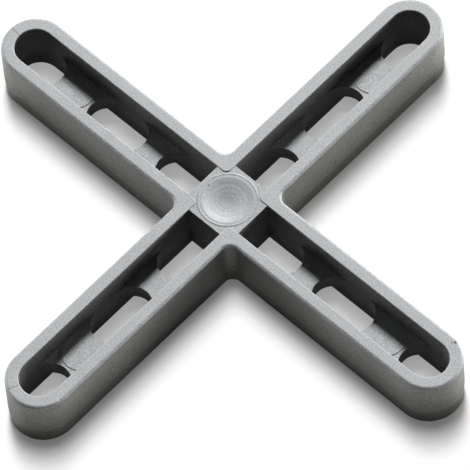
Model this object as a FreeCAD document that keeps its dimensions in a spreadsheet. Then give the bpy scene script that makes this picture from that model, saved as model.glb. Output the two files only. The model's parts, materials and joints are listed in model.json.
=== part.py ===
import FreeCAD, Part
import math
import os
import Sketcher
from FreeCAD import Vector

doc = FreeCAD.newDocument("cross_spacer")

# Driving dimensions of the spacer, in mm and degrees
dimensions = [
    ("armWidth", 5.0, "width of an arm at the rim, the joint it sets"),
    ("armReach", 21.8, "middle of the cross to the tip of an arm at the rim"),
    ("bodyHeight", 4.8, "floor to rim"),
    ("wallThickness", 0.97, "wall round each arm at the rim"),
    ("partingHeight", 1.39, "height of the line where the two mould halves meet"),
    ("partingStep", 0.03, "how far the lower half stands back at that line"),
    ("outerDraft", 1.0, "lean of the outer walls"),
    ("slotDraft", 0.3, "lean of the inner walls above the rungs"),
    ("underDraft", 3.5, "lean of the inner walls below the rungs"),
    ("cornerRadius", 0.76, "round in the four corners between the arms"),
    ("rimRound", 0.23, "round along the outer edge of the rim"),
    ("edgeRound", 0.05, "round along the inner edge of the rim"),
    ("rungThickness", 1.39, "height of the rungs that cross each arm"),
    ("innerWindowEnd", 5.29, "centre of the round end of the window beside the block"),
    ("middleWindowStart", 10.11, "centre of the inner round end of the middle window"),
    ("middleWindowEnd", 12.21, "centre of the outer round end of the middle window"),
    ("endWindowStart", 18.44, "centre of the inner round end of the end window"),
    ("blockWidth", 4.87, "width of the middle block between two opposite hollows"),
    ("blockStep", 0.08, "how far the top of the block lies under the rim"),
    ("tipRound", 0.38, "round on the inner corners where two arm walls meet"),
    ("dishRadius", 2.15, "radius of the dished hollow in the block"),
    ("dishDepth", 0.22, "depth of the hollow"),
    ("lipWidth", 0.1, "width of the raised lip round the hollow"),
    ("lipHeight", 0.03, "height of the lip"),
    ("padRadius", 1.39, "radius of the round pin pad on each outer rung"),
    ("padHeight", 0.06, "height of the pin pad"),
]

sheet = doc.addObject("Spreadsheet::Sheet", "Dimensions")
size = {}
for row, (alias, value, note) in enumerate(dimensions, start=1):
    sheet.set("A%d" % row, str(value))
    sheet.set("B%d" % row, note)
    sheet.setAlias("A%d" % row, alias)
    size[alias] = value
doc.recompute()

# Rules that several features share, each read from the sheet
halfWidth = "(Dimensions.armWidth / 2)"
endCentre = "(Dimensions.armReach - Dimensions.armWidth / 2)"
upperHeight = "(Dimensions.bodyHeight - Dimensions.partingHeight)"
upperHalf = "(%s + %s * tan(Dimensions.outerDraft))" % (halfWidth, upperHeight)
lowerHalf = "(%s - Dimensions.partingStep)" % upperHalf
rungTop = "(Dimensions.partingHeight + Dimensions.rungThickness)"
slotDepth = "(Dimensions.bodyHeight - %s)" % rungTop
slotHalf = "(%s - Dimensions.wallThickness)" % halfWidth
slotLean = "(%s * tan(Dimensions.slotDraft))" % slotDepth
underLean = "(Dimensions.partingHeight * tan(Dimensions.underDraft))"
windowHalf = "(%s - %s)" % (slotHalf, slotLean)
underHalf = "(%s + %s)" % (windowHalf, underLean)
blockHalf = "(Dimensions.blockWidth / 2)"
sinkReach = "(%s + Dimensions.blockStep)" % blockHalf
windowSide = "(%s + %s)" % (blockHalf, slotLean)
underSide = "(%s - %s)" % (windowSide, underLean)
blockTop = "(Dimensions.bodyHeight - Dimensions.blockStep)"
lipTop = "(%s + Dimensions.lipHeight)" % blockTop
dishFloor = "(%s - Dimensions.dishDepth)" % blockTop
padCentre = "((Dimensions.middleWindowEnd + Dimensions.endWindowStart) / 2)"

# The least volume, in mm3, that a cut or a turned feature changes, and the slack in heights, in mm
leastChange = 0.01
tolerance = 0.0001

body = doc.addObject("PartDesign::Body", "Body")
body.Label = "spacer_cross"


def worth(rule):
    """The number that a rule gives now, for the first outline of a sketch."""
    return float(sheet.evalExpression(rule))


def originItem(role):
    for item in body.Origin.OriginFeatures:
        if item.Role == role:
            return item
    raise RuntimeError("no origin item " + role)


def newSketch(name, height=None, role="XY_Plane"):
    sketch = body.newObject("Sketcher::SketchObject", name)
    sketch.AttachmentSupport = [(originItem(role), "")]
    sketch.MapMode = "FlatFace"
    if height:
        sketch.setExpression("AttachmentOffset.Base.z", height)
    return sketch


def line(sketch, start, end):
    return sketch.addGeometry(Part.LineSegment(Vector(*start, 0), Vector(*end, 0)), False)


def arc(sketch, centre, radius, fromAngle, toAngle):
    circle = Part.Circle(Vector(*centre, 0), Vector(0, 0, 1), radius)
    ends = math.radians(fromAngle), math.radians(toAngle)
    return sketch.addGeometry(Part.ArcOfCircle(circle, *ends), False)


def tie(sketch, kind, *where):
    return sketch.addConstraint(Sketcher.Constraint(kind, *where))


def measure(sketch, rule, kind, *where):
    """A dimension of the sketch, bound to a rule."""
    index = tie(sketch, kind, *where, worth(rule))
    sketch.setExpression("Constraints[%d]" % index, rule)


def addStadium(sketch, startRule, endRule, halfRule):
    """An outline with two round ends whose middle line is the X axis."""
    start, end, half = worth(startRule), worth(endRule), worth(halfRule)
    top = line(sketch, (start, half), (end, half))
    low = line(sketch, (start, -half), (end, -half))
    outer = arc(sketch, (end, 0), half, -90, 90)
    inner = arc(sketch, (start, 0), half, 90, 270)
    tie(sketch, "Tangent", top, 2, outer, 2)
    tie(sketch, "Tangent", low, 2, outer, 1)
    tie(sketch, "Tangent", top, 1, inner, 1)
    tie(sketch, "Tangent", low, 1, inner, 2)
    tie(sketch, "PointOnObject", outer, 3, -1)
    tie(sketch, "PointOnObject", inner, 3, -1)
    measure(sketch, startRule, "DistanceX", -1, 1, inner, 3)
    measure(sketch, endRule, "DistanceX", -1, 1, outer, 3)
    measure(sketch, halfRule, "Radius", outer)


def addChannel(sketch, startRule, endRule, halfRule):
    """An outline that is square at the block and round at its outer end."""
    start, end, half = worth(startRule), worth(endRule), worth(halfRule)
    side = line(sketch, (start, -half), (start, half))
    top = line(sketch, (start, half), (end, half))
    low = line(sketch, (start, -half), (end, -half))
    outer = arc(sketch, (end, 0), half, -90, 90)
    tie(sketch, "Coincident", side, 2, top, 1)
    tie(sketch, "Coincident", side, 1, low, 1)
    tie(sketch, "Tangent", top, 2, outer, 2)
    tie(sketch, "Tangent", low, 2, outer, 1)
    tie(sketch, "Vertical", side)
    tie(sketch, "Horizontal", top)
    tie(sketch, "PointOnObject", outer, 3, -1)
    measure(sketch, startRule, "DistanceX", -1, 1, side, 1)
    measure(sketch, endRule, "DistanceX", -1, 1, outer, 3)
    measure(sketch, halfRule, "Radius", outer)


def addCircle(sketch, centreRule, radiusRule):
    circle = Part.Circle(Vector(worth(centreRule), 0, 0), Vector(0, 0, 1), worth(radiusRule))
    ring = sketch.addGeometry(circle, False)
    tie(sketch, "PointOnObject", ring, 3, -1)
    measure(sketch, centreRule, "DistanceX", -1, 1, ring, 3)
    measure(sketch, radiusRule, "Radius", ring)


def addOblong(sketch, longHalfRule, shortHalfRule):
    """A rectangle about the middle of the cross, its long side along X."""
    x, y = worth(longHalfRule), worth(shortHalfRule)
    corners = [(-x, -y), (x, -y), (x, y), (-x, y)]
    sides = [line(sketch, corners[n], corners[(n + 1) % 4]) for n in range(4)]
    for n in range(4):
        tie(sketch, "Coincident", sides[n], 2, sides[(n + 1) % 4], 1)
        tie(sketch, ("Horizontal", "Vertical")[n % 2], sides[n])
    tie(sketch, "Symmetric", sides[0], 1, sides[2], 1, -1, 1)
    measure(sketch, longHalfRule, "DistanceX", -1, 1, sides[2], 1)
    measure(sketch, shortHalfRule, "DistanceY", -1, 1, sides[2], 1)


def addLipProfile(sketch):
    """Half of the low disc that the hollow is sunk in, sloped down at its edge."""
    top, foot, inside = worth(lipTop), worth(blockTop), worth(dishFloor)
    crest, outside = size["dishRadius"], size["dishRadius"] + size["lipWidth"]
    points = [(0, inside), (outside, inside), (outside, foot), (crest, top), (0, top)]
    sides = [line(sketch, points[n], points[(n + 1) % 5]) for n in range(5)]
    for n in range(5):
        tie(sketch, "Coincident", sides[n], 2, sides[(n + 1) % 5], 1)
    tie(sketch, "Horizontal", sides[0])
    tie(sketch, "Vertical", sides[1])
    tie(sketch, "Horizontal", sides[3])
    tie(sketch, "PointOnObject", sides[0], 1, -2)
    tie(sketch, "PointOnObject", sides[3], 2, -2)
    measure(sketch, dishFloor, "DistanceY", -1, 1, sides[0], 1)
    measure(sketch, blockTop, "DistanceY", -1, 1, sides[2], 1)
    measure(sketch, lipTop, "DistanceY", -1, 1, sides[3], 1)
    measure(sketch, "Dimensions.dishRadius", "DistanceX", -1, 1, sides[3], 1)
    measure(sketch, "Dimensions.dishRadius + Dimensions.lipWidth", "DistanceX", -1, 1, sides[1], 1)


def addDishProfile(sketch):
    """Half of a shallow bowl: flat on top, a circular arc below that is level on the axis."""
    top, floor, reach = worth(lipTop), worth(dishFloor), size["dishRadius"]
    sag = top - floor
    radius = (reach * reach + sag * sag) / (2 * sag)
    axis = line(sketch, (0, top), (0, floor))
    cover = line(sketch, (0, top), (reach, top))
    steep = math.degrees(math.asin(reach / radius))
    bowl = arc(sketch, (0, floor + radius), radius, -90, -90 + steep)
    tie(sketch, "Coincident", axis, 1, cover, 1)
    tie(sketch, "Coincident", axis, 2, bowl, 1)
    tie(sketch, "Coincident", cover, 2, bowl, 2)
    tie(sketch, "Horizontal", cover)
    tie(sketch, "PointOnObject", axis, 1, -2)
    tie(sketch, "PointOnObject", axis, 2, -2)
    tie(sketch, "PointOnObject", bowl, 3, -2)
    measure(sketch, lipTop, "DistanceY", -1, 1, axis, 1)
    measure(sketch, dishFloor, "DistanceY", -1, 1, axis, 2)
    measure(sketch, "Dimensions.dishRadius", "DistanceX", -1, 1, cover, 2)


def addTurned(name, kind, sketch):
    before = body.Shape.Volume
    turned = body.newObject(kind, name)
    turned.Profile = sketch
    turned.ReferenceAxis = (originItem("Z_Axis"), [""])
    turned.Angle = 360
    doc.recompute()
    if abs(body.Shape.Volume - before) < leastChange:
        raise RuntimeError(name + " changed nothing")
    return turned


def addPad(name, sketch, length, draft=None, down=False):
    pad = body.newObject("PartDesign::Pad", name)
    pad.Profile = sketch
    pad.Reversed = down
    pad.setExpression("Length", length)
    if draft:
        pad.setExpression("TaperAngle", "-" + draft)
    doc.recompute()
    return pad


def addPocket(name, sketch, length, draft=None, up=False):
    before = body.Shape.Volume
    pocket = body.newObject("PartDesign::Pocket", name)
    pocket.Profile = sketch
    pocket.Reversed = up
    pocket.setExpression("Length", length)
    if draft:
        pocket.setExpression("TaperAngle", "-" + draft)
    doc.recompute()
    if body.Shape.Volume > before - leastChange:
        raise RuntimeError(name + " cut nothing")
    return pocket


def addTurns(name, features, count, angle):
    pattern = body.newObject("PartDesign::PolarPattern", name)
    pattern.Originals = features
    pattern.Axis = (originItem("Z_Axis"), [""])
    pattern.Angle = angle
    pattern.Occurrences = count
    body.Tip = pattern
    doc.recompute()
    return pattern


def addFillet(name, test, radius, count):
    base = body.Tip
    edges = ["Edge%d" % n for n, edge in enumerate(base.Shape.Edges, start=1) if test(edge)]
    if count and len(edges) != count:
        raise RuntimeError("%s found %d edges, not %d" % (name, len(edges), count))
    fillet = body.newObject("PartDesign::Fillet", name)
    fillet.Base = (base, edges)
    fillet.setExpression("Radius", radius)
    doc.recompute()
    return fillet


def middle(edge):
    return edge.valueAt((edge.FirstParameter + edge.LastParameter) / 2)


def rise(edge):
    return abs(edge.Vertexes[0].Z - edge.Vertexes[-1].Z)


# One pair of opposite arms, widest at the parting line, then the pair across it
upperOutline = newSketch("upperOutline", "Dimensions.partingHeight")
addStadium(upperOutline, "-" + endCentre, endCentre, upperHalf)
upperArms = addPad("upperArms", upperOutline, upperHeight, "Dimensions.outerDraft")
addTurns("upperCross", [upperArms], 2, 90)
lowerOutline = newSketch("lowerOutline", "Dimensions.partingHeight")
addStadium(lowerOutline, "-" + endCentre, endCentre, lowerHalf)
lowerArms = addPad("lowerArms", lowerOutline, "Dimensions.partingHeight", "Dimensions.outerDraft", down=True)
addTurns("lowerCross", [lowerArms], 2, 90)

# The four corners between the arms, then the outer edge of the rim
def isCorner(edge):
    spot = middle(edge)
    near = size["armWidth"]
    return rise(edge) > 0.5 * size["partingHeight"] and abs(spot.x) < near and abs(spot.y) < near


def isRim(edge):
    return all(abs(vertex.Z - size["bodyHeight"]) < tolerance for vertex in edge.Vertexes)


addFillet("cornerRounds", isCorner, "Dimensions.cornerRadius", 8)
addFillet("rimRounds", isRim, "Dimensions.rimRound", None)

# The hollow of each arm from above down to the rungs, and from below up to them
slotOutline = newSketch("slotOutline", "Dimensions.bodyHeight")
addChannel(slotOutline, blockHalf, endCentre, slotHalf)
slot = addPocket("slot", slotOutline, slotDepth, "Dimensions.slotDraft")
addTurns("slots", [slot], 4, 360)
underOutline = newSketch("underOutline")
addChannel(underOutline, underSide, endCentre, underHalf)
under = addPocket("underSlot", underOutline, "Dimensions.partingHeight", "Dimensions.underDraft", up=True)
addTurns("underSlots", [under], 4, 360)

# Three round-ended windows in each arm, which leave two waisted rungs between them
windowOutline = newSketch("windowOutline", "Dimensions.partingHeight")
addChannel(windowOutline, windowSide, "Dimensions.innerWindowEnd", windowHalf)
addStadium(windowOutline, "Dimensions.middleWindowStart", "Dimensions.middleWindowEnd", windowHalf)
addStadium(windowOutline, "Dimensions.endWindowStart", endCentre, windowHalf)
window = addPocket("window", windowOutline, "Dimensions.rungThickness", up=True)
addTurns("windows", [window], 4, 360)

# The low round pad that an ejector pin leaves on each outer rung
padOutline = newSketch("padOutline", rungTop)
addCircle(padOutline, padCentre, "Dimensions.padRadius")
pinPad = addPad("pinPad", padOutline, "Dimensions.padHeight")
addTurns("pinPads", [pinPad], 4, 360)

# The top of the middle block, sunk a little under the rim where the hollows cross.
# The cut reaches into the hollows, so that no sliver of wall is left beside them.
crossing = newSketch("crossingOutline", "Dimensions.bodyHeight")
addOblong(crossing, sinkReach, slotHalf)
step = addPocket("blockSink", crossing, "Dimensions.blockStep", "Dimensions.slotDraft")
addTurns("blockSinks", [step], 2, 90)


# How far the middle of the wall at the tip of an arm stands from the middle of the cross
innerEnd = size["armReach"] - size["wallThickness"] / 2


def isTip(edge):
    spot = middle(edge)
    tip = size["armWidth"] / 2 - size["wallThickness"]
    slack = size["blockStep"] / 2
    atTip = abs(abs(spot.x) - tip) < slack and abs(abs(spot.y) - tip) < slack
    return atTip and spot.z > size["bodyHeight"] - size["blockStep"] and rise(edge) > slack


def isInnerRim(edge):
    spot = middle(edge)
    inside = min(abs(spot.x), abs(spot.y)) < (size["armWidth"] - size["wallThickness"]) / 2
    return isRim(edge) and inside and max(abs(spot.x), abs(spot.y)) < innerEnd


addFillet("tipRounds", isTip, "Dimensions.tipRound", 4)
addFillet("innerRounds", isInnerRim, "Dimensions.edgeRound", None)

# The dished hollow in the block and the fine lip round it
lipProfile = newSketch("lipProfile", role="XZ_Plane")
addLipProfile(lipProfile)
addTurned("lip", "PartDesign::Revolution", lipProfile)
dishProfile = newSketch("dishProfile", role="XZ_Plane")
addDishProfile(dishProfile)
addTurned("dish", "PartDesign::Groove", dishProfile)

# Nothing is written unless every object is sound and the spacer is one closed solid
for item in doc.Objects:
    if "Invalid" in item.State or "Error" in item.State:
        raise RuntimeError(item.Name + " failed")
shape = body.Shape
if shape.isNull() or not shape.isValid() or len(shape.Solids) != 1:
    raise RuntimeError("the body is not one valid solid")

os.makedirs("parts", exist_ok=True)
shape.exportStep("parts/%s.step" % body.Label)
print(body.Label, "volume", round(shape.Volume, 2), "faces", len(shape.Faces), shape.BoundBox)
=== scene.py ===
import json
import math

import bpy
from mathutils import Matrix, Vector

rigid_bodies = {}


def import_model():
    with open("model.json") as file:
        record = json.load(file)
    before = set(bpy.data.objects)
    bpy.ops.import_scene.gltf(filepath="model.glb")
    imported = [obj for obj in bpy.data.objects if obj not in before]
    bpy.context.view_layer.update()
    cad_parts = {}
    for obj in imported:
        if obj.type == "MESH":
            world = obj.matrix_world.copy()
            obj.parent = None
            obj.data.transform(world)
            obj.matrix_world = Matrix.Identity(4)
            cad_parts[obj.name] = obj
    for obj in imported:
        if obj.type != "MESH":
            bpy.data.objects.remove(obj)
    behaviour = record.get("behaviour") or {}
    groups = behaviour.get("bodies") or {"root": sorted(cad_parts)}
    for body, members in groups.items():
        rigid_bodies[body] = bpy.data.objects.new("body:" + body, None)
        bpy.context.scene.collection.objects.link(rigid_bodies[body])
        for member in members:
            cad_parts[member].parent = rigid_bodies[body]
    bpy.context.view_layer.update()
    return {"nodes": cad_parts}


mm = 0.001

# start from an empty file: the default cube would count as part of the object
bpy.ops.object.select_all(action="SELECT")
bpy.ops.object.delete()
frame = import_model()
print("frame loaded")


class Wire:
    # a socket that can be used in sums, so that shader maths reads as plain expressions
    def __init__(self, shader, socket):
        self.shader = shader
        self.socket = socket

    def __add__(self, other):
        return self.shader.maths("ADD", self, other)

    def __radd__(self, other):
        return self.shader.maths("ADD", other, self)

    def __sub__(self, other):
        return self.shader.maths("SUBTRACT", self, other)

    def __rsub__(self, other):
        return self.shader.maths("SUBTRACT", other, self)

    def __mul__(self, other):
        return self.shader.maths("MULTIPLY", self, other)

    def __rmul__(self, other):
        return self.shader.maths("MULTIPLY", other, self)

    def __pow__(self, other):
        return self.shader.maths("POWER", self, other)

    def __abs__(self):
        return self.shader.maths("ABSOLUTE", self)


class Shader:
    # the nodes of a material or of the world
    def __init__(self, owner):
        owner.use_nodes = True
        self.tree = owner.node_tree

    def feed(self, socket, value):
        if isinstance(value, Wire):
            self.tree.links.new(value.socket, socket)
        else:
            socket.default_value = value

    def node(self, kind, settings, inputs, output=0):
        # settings go first, because some of them change which sockets the node has
        made = self.tree.nodes.new(kind)
        for name, value in settings.items():
            setattr(made, name, value)
        for name, value in inputs.items():
            self.feed(made.inputs[name], value)
        return Wire(self, made.outputs[output])

    def maths(self, operation, *values):
        return self.node("ShaderNodeMath", {"operation": operation}, dict(enumerate(values)))

    def blend(self, share, low, high, kind="MIX"):
        # mixes two colours
        settings = {"data_type": "RGBA", "blend_type": kind, "clamp_factor": True}
        return self.node("ShaderNodeMix", settings, {0: share, 6: low, 7: high}, 2)

    def mixed(self, share, low, high):
        # mixes two finishes
        return self.node("ShaderNodeMixShader", {}, {0: share, 1: low, 2: high})

    def diffuse(self, colour):
        return self.node("ShaderNodeBsdfDiffuse", {}, {"Color": colour})

    def scaled(self, vector, factor):
        return self.node("ShaderNodeVectorMath", {"operation": "SCALE"}, {0: vector, "Scale": factor})

    def noise(self, place, pattern):
        inputs = {"Vector": place, "Scale": pattern["scale"]}
        inputs.update({"Detail": pattern["detail"], "Roughness": pattern["roughness"]})
        return self.node("ShaderNodeTexNoise", {}, inputs)

    def ray(self, *kinds):
        # 1 where the ray is of one of these kinds
        found = [self.node("ShaderNodeLightPath", {}, {}, "Is " + kind + " Ray") for kind in kinds]
        return sum(found[1:], found[0])

    def place(self):
        # where on its object the surface is, in millimetres
        return self.scaled(self.node("ShaderNodeTexCoord", {}, {}, "Object"), 1 / mm)

    def parts(self, vector):
        return [self.node("ShaderNodeSeparateXYZ", {}, {0: vector}, axis) for axis in "XYZ"]

    def length(self, along, across):
        return (along * along + across * across) ** 0.5

    def step(self, value, start, end):
        # 0 below start, 1 above end, smooth between them
        inputs = {"Value": value, "From Min": start, "From Max": end}
        return self.node("ShaderNodeMapRange", {"interpolation_type": "SMOOTHSTEP"}, inputs)

    def fade(self, value, start, end):
        # 1 below start, 0 above end
        return 1 - self.step(value, start, end)

    def show(self, finish):
        self.feed(self.tree.nodes["Material Output"].inputs["Surface"], finish)


# Every length that a material names is in millimetres. A pair is where a change starts and ends.

# the centre of the round end of an arm, from the cross's middle, and the middle of an arm's wall
arm = {"end": 19.3, "wall": (1.8, 2.2)}


def armReach(shader, place):
    # distance from the middle line of the nearer arm
    x, y = shader.parts(place)[:2]
    alongX = shader.length(shader.maths("MAXIMUM", abs(x) - arm["end"], 0), y)
    alongY = shader.length(shader.maths("MAXIMUM", abs(y) - arm["end"], 0), x)
    return shader.maths("MINIMUM", alongX, alongY)


def underArms(shader, place):
    # 1 near the middle lines of the arms, 0 outside the middle of their walls
    return shader.fade(armReach(shader, place), *arm["wall"])


# painted shade: the sides are painted darker than the tops, the outer walls darker towards the floor and the
# slot walls much darker low down; the tops below the rim are painted paler, which is painted light
plastic = {
    "top": (0.352, 0.364, 0.374, 1),
    "wallHigh": (0.141, 0.144, 0.130, 1),
    "wallLow": (0.056, 0.057, 0.046, 1),
    "wallRise": (0.8, 4.4),  # heights between which the outer walls turn from low to high
    "slotHigh": (0.122, 0.127, 0.118, 1),
    "slotLow": (0.012, 0.013, 0.011, 1),
    "slotRise": (1.0, 3.2),
    "lookingUp": (0.05, 0.45),  # the upward part of a normal, from a side to a top
    "rimHeight": (4.66, 4.72),
    "sunkPaler": 0.11,  # tops below the rim
    "roughness": 0.5,
    "slotRoughness": 0.75,
    "dishRoughness": 0.43,
}
dish = {
    "radius": 2.15,
    "edge": (1.85, 2.15),
    "height": (4.3, 4.35),
    "tint": (0.84, 0.875, 0.875, 1),
    "flatten": 0.027,  # mm of bump for each square mm inside the radius
    "shoulder": (1.35, 1.8),
    "shoulderRise": 0.017,
    "ringSpacing": 0.36,
    "ringDepth": 0.0012,
    # the gate mark with painted shade of the bowl: its middle, reach and strength
    "gateMarkAndShade": (-0.4, 0.2),
    "gateMarkAndShadeReach": (0.1, 1.75),
    "gateMarkAndShadeDark": 0.45,
    "grainLess": 0.4,
    "depthLess": 0.5,
}


class Spot:
    # where on the spacer a point lies, as masks from 0 to 1 and lengths
    def __init__(self, shader):
        self.place = shader.place()
        self.x, self.y, self.height = shader.parts(self.place)
        up = shader.parts(shader.node("ShaderNodeNewGeometry", {}, {}, "Normal"))[2]
        self.inside = underArms(shader, self.place)
        self.rim = shader.step(self.height, *plastic["rimHeight"])
        self.top = shader.maths("MAXIMUM", shader.step(up, *plastic["lookingUp"]), self.rim)
        self.outer = (1 - self.top) * (1 - self.inside)
        self.fromAxis = shader.length(self.x, self.y)
        self.inDish = shader.fade(self.fromAxis, *dish["edge"]) * shader.step(self.height, *dish["height"])


# the mould halves met at this height, and below it the wall is darker
parting = {
    "height": (1.37, 1.41),
    "below": 0.66,
    "darkLine": 1.36,
    "paleLine": 1.45,
    "lineFade": (0.02, 0.06),
    "unbroken": (0.35, 0.55),  # levels of the blotches between which the dark line comes in
    "dark": 0.5,
    "pale": 0.25,
    "depth": 0.02,
}


def plainColour(shader, spot):
    # painted shade and light: sides darker than tops, walls and slots darker towards the floor, sunk tops
    # paler
    wall = shader.step(spot.height, *plastic["wallRise"])
    wall = shader.blend(wall, plastic["wallLow"], plastic["wallHigh"])
    above = shader.step(spot.height, *parting["height"])
    wall = shader.scaled(wall, parting["below"] + above * (1 - parting["below"]))
    slot = shader.step(spot.height, *plastic["slotRise"])
    slot = shader.blend(slot, plastic["slotLow"], plastic["slotHigh"])
    side = shader.blend(spot.inside, wall, slot)
    top = shader.scaled(plastic["top"][:3], 1 + (1 - spot.rim) * plastic["sunkPaler"])
    return shader.blend(spot.inDish, shader.blend(spot.top, side, top), dish["tint"], "MULTIPLY")


def partingLine(shader, spot, height):
    return shader.fade(abs(spot.height - height), *parting["lineFade"]) * spot.outer


# painted light: the outer walls are painted paler at the arm ends, most on two arms, and a painted highlight
# runs along the inner edge of the rim
paintedLight = {
    "ends": (15.5, 21.0),
    "endsPaler": 0.42,
    "twoArms": (8, 14),
    "twoArmsPaler": 0.5,
    "crestHeight": (4.74, 4.78),
    "crestReach": (1.57, 1.68),
    "crestPaler": 0.14,
}
# painted shade: the outer walls are painted darker near the middle, most in one corner between two arms, and a
# dark matt finish is mixed in low in the slots
paintedShade = {
    "colour": (0.012, 0.012, 0.009, 1),
    "middle": (4, 12),
    "middleDark": 0.1,
    "corner": (2.5, -2.5),
    "cornerNear": (0.5, 3.5),
    "cornerFar": (4, 12),
    "cornerSide": (2, 4.5),
    "cornerDark": 0.24,
    "slotHeight": (0.8, 1.8),
    "inSlots": 0.35,
    "inLine": 0.45,
    "inCorner": 0.3,
}


def cornerShade(shader, spot):
    # 1 on the two walls that meet in the corner with painted shade, 0 far along them
    away = shader.length(spot.x - paintedShade["corner"][0], spot.y - paintedShade["corner"][1])
    near = shader.step(away, *paintedShade["cornerNear"]) * shader.fade(away, *paintedShade["cornerFar"])
    return near * shader.step(spot.x - spot.y, *paintedShade["cornerSide"])


def paintedLightAndShadeTone(shader, spot, corner):
    # painted light at the arm ends and on the rim's inner edge, painted shade near the middle and in one
    # corner
    along = shader.maths("MAXIMUM", abs(spot.x), abs(spot.y))
    paler = paintedLight["endsPaler"] + paintedLight["twoArmsPaler"] * shader.step(spot.y - spot.x, *paintedLight["twoArms"])
    paler = shader.step(along, *paintedLight["ends"]) * paler
    darker = paintedShade["middleDark"] * shader.fade(along, *paintedShade["middle"]) + paintedShade["cornerDark"] * corner
    crest = shader.step(spot.height, *paintedLight["crestHeight"])
    crest = crest * shader.fade(armReach(shader, spot.place), *paintedLight["crestReach"])
    return (1 + spot.outer * (paler - darker)) * (1 + paintedLight["crestPaler"] * crest)


# seams where the melt met, at the ends of two arms: place, direction across the seam, half length and width
seams = [
    {"middle": (-21.25, 0.0), "across": (0.12, 0.99), "long": 0.55, "wide": 0.035, "dark": 0.55},
    {"middle": (-0.86, -21.17), "across": (0.9, -0.44), "long": 0.5, "wide": 0.045, "dark": 0.42},
]
# small nicks and specks: place, radius, and how much of the light colour stays
specks = [
    {"middle": (-1.87, -0.03, 4.69), "radius": 0.09, "stays": 0.35},
    {"middle": (19.9, 2.2, 4.79), "radius": 0.12, "stays": 0.08},
    {"middle": (19.72, 2.02, 4.8), "radius": 0.07, "stays": 0.3},
    {"middle": (2.28, -19.76, 4.78), "radius": 0.1, "stays": 1.45},
    {"middle": (-6.18, -2.51, 4.34), "radius": 0.14, "stays": 0.5},
]
# how far the edges of the marks are softened, as shares of their sizes
softEdge = {"seamSide": (0.4, 1.6), "seamEnd": (0.8, 1.0), "speck": (0.6, 1.3)}


def stroke(shader, spot, seam):
    # 1 on a short straight line, 0 beside it
    x, y = spot.x - seam["middle"][0], spot.y - seam["middle"][1]
    across = abs(x * seam["across"][0] + y * seam["across"][1])
    along = abs(y * seam["across"][0] - x * seam["across"][1])
    side = [seam["wide"] * share for share in softEdge["seamSide"]]
    end = [seam["long"] * share for share in softEdge["seamEnd"]]
    return shader.fade(across, *side) * shader.fade(along, *end)


def markTone(shader, spot):
    tone = 1
    for seam in seams:
        tone = tone * (1 - seam["dark"] * stroke(shader, spot, seam) * spot.rim)
    for speck in specks:
        x, y, height = speck["middle"]
        away = shader.length(shader.length(spot.x - x, spot.y - y), spot.height - height)
        mark = shader.fade(away, *[speck["radius"] * share for share in softEdge["speck"]])
        tone = tone * (1 + (speck["stays"] - 1) * mark)
    return tone


def gateMarkAndShadeTone(shader, spot):
    # a dark patch over the middle and one side of the dish: partly the mark the gate left, partly painted
    # shade of the bowl
    away = shader.length(spot.x - dish["gateMarkAndShade"][0], spot.y - dish["gateMarkAndShade"][1])
    return 1 - dish["gateMarkAndShadeDark"] * spot.inDish * shader.fade(away, *dish["gateMarkAndShadeReach"])


def dishHeight(shader, spot):
    # a flatter middle, a steeper shoulder and faint turned rings
    bowl = shader.maths("MAXIMUM", dish["radius"] ** 2 - spot.fromAxis * spot.fromAxis, 0)
    shoulder = shader.step(spot.fromAxis, *dish["shoulder"])
    rings = shader.maths("SINE", spot.fromAxis * (2 * math.pi / dish["ringSpacing"]))
    return bowl * dish["flatten"] + shoulder * dish["shoulderRise"] + rings * dish["ringDepth"]


grain = {
    "scale": 10.0,
    "detail": 1.5,
    "roughness": 0.7,
    "average": 0.5,
    "tone": 1.7,
    "onTops": 1.0,
    "onSides": 1.6,
    "depth": 0.02,
}
blotches = {"scale": 0.9, "detail": 2.0, "roughness": 0.5, "least": 0.9, "range": 0.2}


def makePlastic():
    material = bpy.data.materials.new("grainedPlastic")
    shader = Shader(material)
    surface = shader.tree.nodes["Principled BSDF"]
    spot = Spot(shader)
    fine = shader.noise(spot.place, grain)
    blotch = shader.noise(spot.place, blotches)
    darkLine = partingLine(shader, spot, parting["darkLine"]) * shader.step(blotch, *parting["unbroken"])
    paleLine = partingLine(shader, spot, parting["paleLine"])
    corner = cornerShade(shader, spot)

    tone = (1 - parting["dark"] * darkLine) * (1 + parting["pale"] * paleLine)
    tone = tone * (blotches["least"] + blotches["range"] * blotch)
    tone = tone * paintedLightAndShadeTone(shader, spot, corner) * markTone(shader, spot) * gateMarkAndShadeTone(shader, spot)
    strength = grain["tone"] * (grain["onSides"] + (grain["onTops"] - grain["onSides"]) * spot.top)
    strength = strength * (1 - dish["grainLess"] * spot.inDish)
    tone = tone * (1 + (fine - grain["average"]) * strength)
    shader.feed(surface.inputs["Base Color"], shader.scaled(plainColour(shader, spot), tone))

    rough = spot.inside * (1 - spot.top) * (plastic["slotRoughness"] - plastic["roughness"])
    rough = rough + spot.inDish * (plastic["dishRoughness"] - plastic["roughness"])
    shader.feed(surface.inputs["Roughness"], rough + plastic["roughness"])

    relief = fine * grain["depth"] * (1 - dish["depthLess"] * spot.inDish)
    relief = relief + dishHeight(shader, spot) * spot.inDish - darkLine * parting["depth"]
    bump = {"Strength": 1.0, "Distance": 1.0, "Height": relief * mm}
    shader.feed(surface.inputs["Normal"], shader.node("ShaderNodeBump", {}, bump))

    # painted shade: a dark matt finish is mixed in low in the slots, along the dark parting line and in the
    # shaded corner, and takes the shine away as well
    low = spot.inside * (1 - spot.top) * shader.fade(spot.height, *paintedShade["slotHeight"])
    shadeShare = paintedShade["inSlots"] * low + paintedShade["inLine"] * darkLine + paintedShade["inCorner"] * corner * spot.outer
    shader.show(shader.mixed(shadeShare, Wire(shader, surface.outputs[0]), shader.diffuse(paintedShade["colour"])))
    return material


cross = frame["nodes"]["spacer_cross"]
cross.material_slots[0].material = makePlastic()
print("plastic made")

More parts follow.
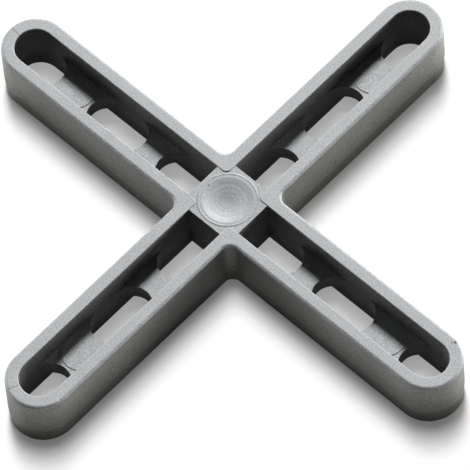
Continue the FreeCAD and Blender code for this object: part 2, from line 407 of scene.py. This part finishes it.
# the sheet under the spacer, in metres, and its colours: in the open, and under the slots, where it is painted
# a darker grey (painted shade) and given a glow of its own (painted light)
sheet = {
    "size": 2.0,
    "drop": 0.02 * mm,
    "open": (1, 1, 1, 1),
    "shaded": (0.5, 0.5, 0.5, 1),
    "openGlow": (0.05, 0.05, 0.05, 1),
    "shadedGlow": (0.32, 0.32, 0.32, 1),
    "bounce": (0.62, 0.62, 0.61, 1),  # what it throws back at the spacer
}


def makeFloor():
    bpy.ops.mesh.primitive_plane_add(size=sheet["size"], location=(0, 0, -sheet["drop"]))
    floor = bpy.context.object
    floor.name = "floor"
    bpy.ops.object.transform_apply(location=True, rotation=True, scale=True)
    material = bpy.data.materials.new("whiteFloor")
    shader = Shader(material)
    under = underArms(shader, shader.place())
    # painted shade and light: under the arms the floor is a darker grey with a glow of its own
    white = shader.mixed(under, shader.diffuse(sheet["open"]), shader.diffuse(sheet["shaded"]))
    glow = shader.blend(under, sheet["openGlow"], sheet["shadedGlow"])
    glow = shader.node("ShaderNodeEmission", {}, {"Color": glow, "Strength": 1.0})
    white = shader.node("ShaderNodeAddShader", {}, {0: white, 1: glow})
    seen = shader.ray("Camera", "Glossy", "Transmission")
    shader.show(shader.mixed(seen, shader.diffuse(sheet["bounce"]), white))
    floor.data.materials.append(material)


makeFloor()
print("floor laid")

# the view of the photograph: angles in degrees, lens and sensor in mm, the rest in metres
shot = {
    "azimuth": 47.579,
    "elevation": 60.285,
    "roll": -5.055,
    "target": (0.376 * mm, 0.0575 * mm, 0),
    "distance": 373.06 * mm,
    "lens": 395.268,
    "sensor": 36,
    "nearest": 0.01,
    "furthest": 10,
}


def placeCamera():
    turn = (
        Matrix.Rotation(math.radians(shot["azimuth"]), 4, "Z")
        @ Matrix.Rotation(math.radians(90 - shot["elevation"]), 4, "X")
        @ Matrix.Rotation(math.radians(shot["roll"]), 4, "Z")
    )
    eye = Vector(shot["target"]) + turn.to_3x3() @ Vector((0, 0, shot["distance"]))
    bpy.ops.object.camera_add(location=eye, rotation=turn.to_euler())
    camera = bpy.context.object
    camera.data.sensor_width = shot["sensor"]
    camera.data.lens = shot["lens"]
    camera.data.clip_start = shot["nearest"]
    camera.data.clip_end = shot["furthest"]
    bpy.context.scene.camera = camera


placeCamera()
print("camera placed")

# angle is measured round the object from straight behind it, seen from the camera, towards the right
lamps = {
    "keySoftbox": {"angle": 12, "height": 47, "level": 0.83, "wide": 0.5, "lights": "object"},
    "leftLow": {"angle": 304, "height": 6, "level": 0.062, "wide": 0.4, "lights": "object"},
    "frontRight": {"angle": 110, "height": 6, "level": 0.021, "wide": 0.4, "lights": "object"},
    "rightLow": {"angle": 60, "height": 6, "level": 0.12, "wide": 0.4, "lights": "object"},
    "floorTop": {"angle": 0, "height": 80, "level": 0.29, "wide": 0.43, "lights": "floor"},
    "floorMiddle": {"angle": 0, "height": 70, "level": 0.31, "wide": 0.43, "lights": "floor"},
    "floorLow": {"angle": 0, "height": 60, "level": 0.27, "wide": 0.43, "lights": "floor"},
    "floorFront": {"angle": 180, "height": 75, "level": 0.085, "wide": 0.67, "lights": "floor"},
}
lampDistance = 2.0  # metres, as the widths of the lamps are


def hangLamps():
    groups = {"object": cross, "floor": bpy.data.objects["floor"]}
    lit = {}
    for name, member in groups.items():
        lit[name] = bpy.data.collections.new(name + "Lit")
        lit[name].objects.link(member)
    behind = math.radians(90 + shot["azimuth"])
    for name, lamp in lamps.items():
        around = behind - math.radians(lamp["angle"])
        rise = math.radians(lamp["height"])
        way = (math.cos(around) * math.cos(rise), math.sin(around) * math.cos(rise), math.sin(rise))
        way = Vector(way)
        bpy.ops.object.light_add(type="AREA", location=way * lampDistance)
        light = bpy.context.object
        light.name = name
        light.rotation_euler = way.to_track_quat("Z", "Y").to_euler()
        light.data.shape = "DISK"
        light.data.size = lamp["wide"]
        # this power lights a white level floor to the lamp's level
        light.data.energy = lamp["level"] * (math.pi * lampDistance) ** 2 / math.sin(rise)
        light.light_linking.receiver_collection = lit[lamp["lights"]]


hangLamps()
print("lamps hung")

# a pale band round the horizon, as the sides of a light tent give, weaker on the open side where the camera is
tent = {"level": 0.4, "band": (0, 0.65), "open": 0.7, "dark": (0, 0, 0, 1), "light": (1, 1, 1, 1)}


def makeTent():
    world = bpy.data.worlds.new("studio")
    shader = Shader(world)
    x, y, height = shader.parts(shader.node("ShaderNodeTexCoord", {}, {}, "Generated"))
    front = math.radians(shot["azimuth"])
    towardsCamera = x * math.sin(front) - y * math.cos(front)
    level = shader.fade(height, *tent["band"]) * (1 - towardsCamera * tent["open"]) * tent["level"]
    background = shader.tree.nodes["Background"]
    shader.feed(background.inputs["Color"], shader.blend(level, tent["dark"], tent["light"]))
    bpy.context.scene.world = world


makeTent()
print("tent made")
bpy.context.scene.view_settings.view_transform = "Standard"
